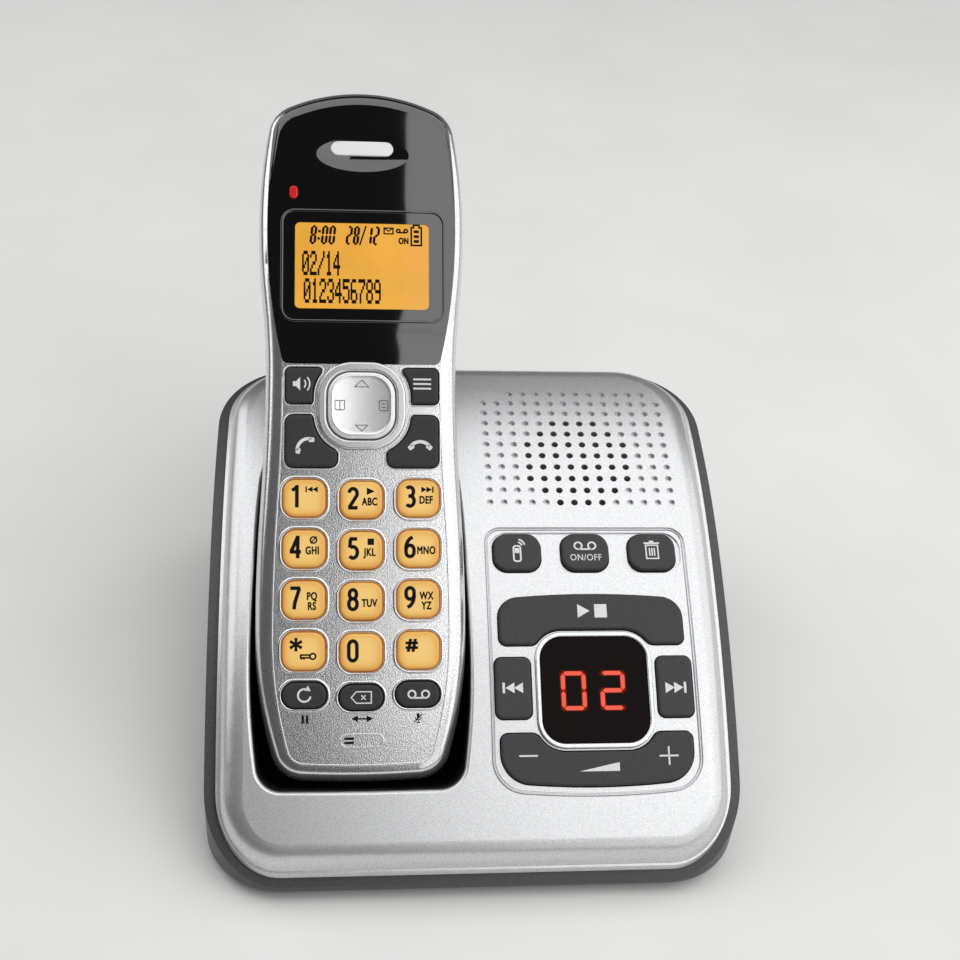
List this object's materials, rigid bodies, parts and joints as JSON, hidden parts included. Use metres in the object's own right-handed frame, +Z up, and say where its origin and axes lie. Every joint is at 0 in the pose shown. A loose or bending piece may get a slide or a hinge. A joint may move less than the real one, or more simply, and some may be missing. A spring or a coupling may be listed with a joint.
{
  "type": "answering machine",
  "caption": "Desktop answering machine with a sloping silver top, message keys and counter window, speaker grille and a leaning cordless handset docked in its cradle.",
  "frame": {"origin": "middle of the underside of the whole part's box, on the table that the feet stand on, with the handset docked", "axes": "+X to the right seen from the front, +Y to the rear, +Z up"},
  "size_m": [0.1254, 0.147, 0.1327],
  "materials": {
    "silver_painted": "satin silver paint",
    "dark_grey_plastic": "fine texture",
    "black_plastic": "matt",
    "black_gloss": "gloss",
    "smoked_red_lens": "gloss",
    "amber_lcd": "gloss",
    "red_lamp": "gloss",
    "amber_keys": "satin",
    "dark_keys": "matt",
    "black_rubber": "matt",
    "circuit_board": "solder mask",
    "contact_metal": "nickel plate",
    "battery_wrap": "shrink wrap"
  },
  "bodies": {
    "base": {"base_top_cover": "silver_painted", "base_bottom_housing": "dark_grey_plastic", "cradle_well": "black_plastic", "charge_spring_left": "contact_metal", "charge_spring_right": "contact_metal", "display_frame": "silver_painted", "display_window": "smoked_red_lens", "display_module": "circuit_board", "base_circuit_board": "circuit_board", "base_speaker": "black_plastic", "rubber_feet": "black_rubber", "power_jack": "black_plastic", "line_jack": "black_plastic"},
    "handset": {"handset_front_housing": "silver_painted", "handset_back_housing": "dark_grey_plastic", "face_lens": "black_gloss", "earpiece_insert": "silver_painted", "message_lamp": "red_lamp", "lcd_module": "amber_lcd", "nav_ring": "silver_painted", "keypad_mat": "black_rubber", "handset_circuit_board": "circuit_board", "receiver": "black_plastic", "microphone": "black_plastic", "battery_pack": "battery_wrap", "charge_pad_left": "contact_metal", "charge_pad_right": "contact_metal"},
    "find_button": {"find_button": "dark_keys"},
    "answer_button": {"answer_button": "dark_keys"},
    "erase_button": {"erase_button": "dark_keys"},
    "play_stop_button": {"play_stop_button": "dark_keys"},
    "skip_back_button": {"skip_back_button": "dark_keys"},
    "skip_forward_button": {"skip_forward_button": "dark_keys"},
    "volume_rocker": {"volume_rocker": "dark_keys"},
    "battery_door": {"battery_door": "dark_grey_plastic"},
    "speaker_key": {"speaker_key": "dark_keys"},
    "menu_key": {"menu_key": "dark_keys"},
    "talk_key": {"talk_key": "dark_keys"},
    "end_key": {"end_key": "dark_keys"},
    "key_1": {"key_1": "amber_keys"},
    "key_2": {"key_2": "amber_keys"},
    "key_3": {"key_3": "amber_keys"},
    "key_4": {"key_4": "amber_keys"},
    "key_5": {"key_5": "amber_keys"},
    "key_6": {"key_6": "amber_keys"},
    "key_7": {"key_7": "amber_keys"},
    "key_8": {"key_8": "amber_keys"},
    "key_9": {"key_9": "amber_keys"},
    "key_star": {"key_star": "amber_keys"},
    "key_0": {"key_0": "amber_keys"},
    "key_hash": {"key_hash": "amber_keys"},
    "redial_key": {"redial_key": "dark_keys"},
    "clear_key": {"clear_key": "dark_keys"},
    "message_key": {"message_key": "dark_keys"},
    "nav_key": {"nav_key": "silver_painted"},
    "nav_rocker": {"nav_rocker": "black_plastic"}
  },
  "joints": [
    {"name": "handset_lift", "type": "slide", "parent": "base", "child": "handset", "axis": [0, 0, 1], "range_m": [0, 0.12]},
    {"name": "speaker_key_press", "type": "slide", "parent": "handset", "child": "speaker_key", "axis": [0, 0.6947, -0.7193], "range_m": [0, 0.0008], "stiffness_N_per_m": 300, "springref_m": -0.0005},
    {"name": "menu_key_press", "type": "slide", "parent": "handset", "child": "menu_key", "axis": [0, 0.6947, -0.7193], "range_m": [0, 0.0008], "stiffness_N_per_m": 300, "springref_m": -0.0005},
    {"name": "talk_key_press", "type": "slide", "parent": "handset", "child": "talk_key", "axis": [0, 0.6947, -0.7193], "range_m": [0, 0.0008], "stiffness_N_per_m": 300, "springref_m": -0.0005},
    {"name": "end_key_press", "type": "slide", "parent": "handset", "child": "end_key", "axis": [0, 0.6947, -0.7193], "range_m": [0, 0.0008], "stiffness_N_per_m": 300, "springref_m": -0.0005},
    {"name": "key_1_press", "type": "slide", "parent": "handset", "child": "key_1", "axis": [0, 0.6947, -0.7193], "range_m": [0, 0.0008], "stiffness_N_per_m": 300, "springref_m": -0.0005},
    {"name": "key_2_press", "type": "slide", "parent": "handset", "child": "key_2", "axis": [0, 0.6947, -0.7193], "range_m": [0, 0.0008], "stiffness_N_per_m": 300, "springref_m": -0.0005},
    {"name": "key_3_press", "type": "slide", "parent": "handset", "child": "key_3", "axis": [0, 0.6947, -0.7193], "range_m": [0, 0.0008], "stiffness_N_per_m": 300, "springref_m": -0.0005},
    {"name": "key_4_press", "type": "slide", "parent": "handset", "child": "key_4", "axis": [0, 0.6947, -0.7193], "range_m": [0, 0.0008], "stiffness_N_per_m": 300, "springref_m": -0.0005},
    {"name": "key_5_press", "type": "slide", "parent": "handset", "child": "key_5", "axis": [0, 0.6947, -0.7193], "range_m": [0, 0.0008], "stiffness_N_per_m": 300, "springref_m": -0.0005},
    {"name": "key_6_press", "type": "slide", "parent": "handset", "child": "key_6", "axis": [0, 0.6947, -0.7193], "range_m": [0, 0.0008], "stiffness_N_per_m": 300, "springref_m": -0.0005},
    {"name": "key_7_press", "type": "slide", "parent": "handset", "child": "key_7", "axis": [0, 0.6947, -0.7193], "range_m": [0, 0.0008], "stiffness_N_per_m": 300, "springref_m": -0.0005},
    {"name": "key_8_press", "type": "slide", "parent": "handset", "child": "key_8", "axis": [0, 0.6947, -0.7193], "range_m": [0, 0.0008], "stiffness_N_per_m": 300, "springref_m": -0.0005},
    {"name": "key_9_press", "type": "slide", "parent": "handset", "child": "key_9", "axis": [0, 0.6947, -0.7193], "range_m": [0, 0.0008], "stiffness_N_per_m": 300, "springref_m": -0.0005},
    {"name": "key_star_press", "type": "slide", "parent": "handset", "child": "key_star", "axis": [0, 0.6947, -0.7193], "range_m": [0, 0.0008], "stiffness_N_per_m": 300, "springref_m": -0.0005},
    {"name": "key_0_press", "type": "slide", "parent": "handset", "child": "key_0", "axis": [0, 0.6947, -0.7193], "range_m": [0, 0.0008], "stiffness_N_per_m": 300, "springref_m": -0.0005},
    {"name": "key_hash_press", "type": "slide", "parent": "handset", "child": "key_hash", "axis": [0, 0.6947, -0.7193], "range_m": [0, 0.0008], "stiffness_N_per_m": 300, "springref_m": -0.0005},
    {"name": "redial_key_press", "type": "slide", "parent": "handset", "child": "redial_key", "axis": [0, 0.6947, -0.7193], "range_m": [0, 0.0008], "stiffness_N_per_m": 300, "springref_m": -0.0005},
    {"name": "clear_key_press", "type": "slide", "parent": "handset", "child": "clear_key", "axis": [0, 0.6947, -0.7193], "range_m": [0, 0.0008], "stiffness_N_per_m": 300, "springref_m": -0.0005},
    {"name": "message_key_press", "type": "slide", "parent": "handset", "child": "message_key", "axis": [0, 0.6947, -0.7193], "range_m": [0, 0.0008], "stiffness_N_per_m": 300, "springref_m": -0.0005},
    {"name": "find_button_press", "type": "slide", "parent": "base", "child": "find_button", "axis": [0, 0.3925, -0.9197], "range_m": [0, 0.0008], "stiffness_N_per_m": 400, "springref_m": -0.0005},
    {"name": "answer_button_press", "type": "slide", "parent": "base", "child": "answer_button", "axis": [0, 0.3925, -0.9197], "range_m": [0, 0.0008], "stiffness_N_per_m": 400, "springref_m": -0.0005},
    {"name": "erase_button_press", "type": "slide", "parent": "base", "child": "erase_button", "axis": [0, 0.3925, -0.9197], "range_m": [0, 0.0008], "stiffness_N_per_m": 400, "springref_m": -0.0005},
    {"name": "play_stop_button_press", "type": "slide", "parent": "base", "child": "play_stop_button", "axis": [0, 0.4712, -0.882], "range_m": [0, 0.0008], "stiffness_N_per_m": 400, "springref_m": -0.0005},
    {"name": "skip_back_button_press", "type": "slide", "parent": "base", "child": "skip_back_button", "axis": [0, 0.5045, -0.8634], "range_m": [0, 0.0008], "stiffness_N_per_m": 400, "springref_m": -0.0005},
    {"name": "skip_forward_button_press", "type": "slide", "parent": "base", "child": "skip_forward_button", "axis": [0, 0.5045, -0.8634], "range_m": [0, 0.0008], "stiffness_N_per_m": 400, "springref_m": -0.0005},
    {"name": "volume_rock", "type": "hinge", "parent": "base", "child": "volume_rocker", "pos_m": [0.02775, -0.05303, 0.0225], "axis": [0, 0.8428, 0.5382], "range_deg": [-1.2, 1.2], "stiffness_Nm_per_rad": 0.05},
    {"name": "nav_side_rock", "type": "hinge", "parent": "handset", "child": "nav_rocker", "pos_m": [-0.02676, 0.00856, 0.07829], "axis": [0, 0.7193, 0.6947], "range_deg": [-2, 2], "stiffness_Nm_per_rad": 0.02},
    {"name": "nav_up_down_rock", "type": "hinge", "parent": "nav_rocker", "child": "nav_key", "pos_m": [-0.02676, 0.00832, 0.07854], "axis": [1, 0, 0], "range_deg": [-2, 2], "stiffness_Nm_per_rad": 0.02},
    {"name": "battery_door_off", "type": "slide", "parent": "handset", "child": "battery_door", "axis": [0, 0.6947, -0.7193], "range_m": [0, 0.005]}
  ]
}
